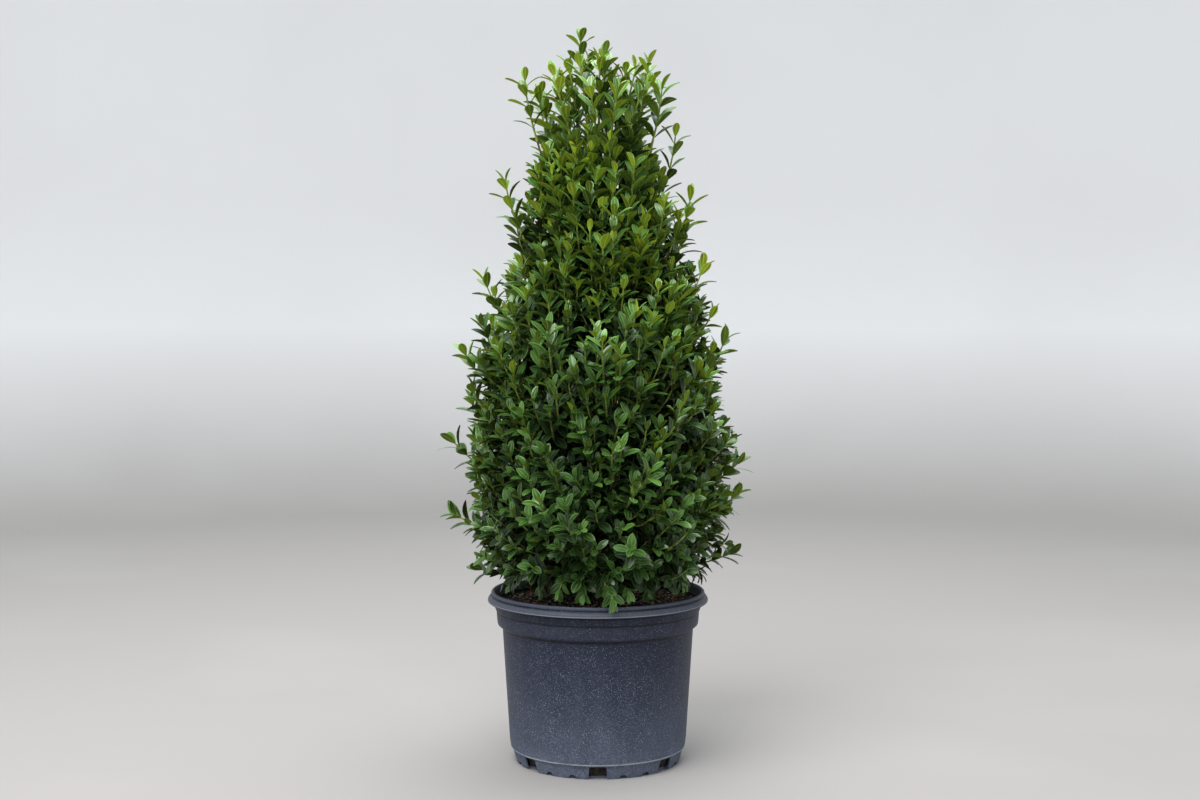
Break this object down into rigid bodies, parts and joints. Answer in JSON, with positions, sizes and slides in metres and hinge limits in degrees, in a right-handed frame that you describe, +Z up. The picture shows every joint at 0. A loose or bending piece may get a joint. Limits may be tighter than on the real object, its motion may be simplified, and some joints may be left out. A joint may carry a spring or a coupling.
{
  "type": "potted boxwood cone topiary",
  "caption": "Small-leaved evergreen shrub clipped to a tall ragged cone, growing from a short leaning stem in a round ribbed-rim plastic nursery pot filled with bark soil.",
  "frame": {"origin": "middle of the pot's flat underside, on the stem's axis", "axes": "+Z up along the stem, +X to the right and -Y towards the viewer of the plant's front"},
  "size_m": [0.394, 0.3925, 0.9217],
  "materials": {
    "pot": "matte, dusty",
    "soil": "rough, moist",
    "bark": "rough, fissured",
    "foliage": "satin, waxy"
  },
  "bodies": {
    "root": {"pot": "pot", "potting_soil": "soil", "trunk": "bark", "skirt_bough_1": "bark", "skirt_foliage_1": "foliage", "skirt_bough_2": "bark", "skirt_foliage_2": "foliage", "skirt_bough_3": "bark", "skirt_foliage_3": "foliage", "skirt_bough_4": "bark", "skirt_foliage_4": "foliage", "skirt_bough_5": "bark", "skirt_foliage_5": "foliage", "skirt_bough_6": "bark", "skirt_foliage_6": "foliage", "lower_bough_1": "bark", "lower_foliage_1": "foliage", "lower_bough_2": "bark", "lower_foliage_2": "foliage", "lower_bough_3": "bark", "lower_foliage_3": "foliage", "lower_bough_4": "bark", "lower_foliage_4": "foliage", "lower_bough_5": "bark", "lower_foliage_5": "foliage", "lower_bough_6": "bark", "lower_foliage_6": "foliage", "middle_bough_1": "bark", "middle_foliage_1": "foliage", "middle_bough_2": "bark", "middle_foliage_2": "foliage", "middle_bough_3": "bark", "middle_foliage_3": "foliage", "middle_bough_4": "bark", "middle_foliage_4": "foliage", "middle_bough_5": "bark", "middle_foliage_5": "foliage", "upper_bough_1": "bark", "upper_foliage_1": "foliage", "upper_bough_2": "bark", "upper_foliage_2": "foliage", "upper_bough_3": "bark", "upper_foliage_3": "foliage", "upper_bough_4": "bark", "upper_foliage_4": "foliage", "top_foliage": "foliage"}
  },
  "joints": []
}
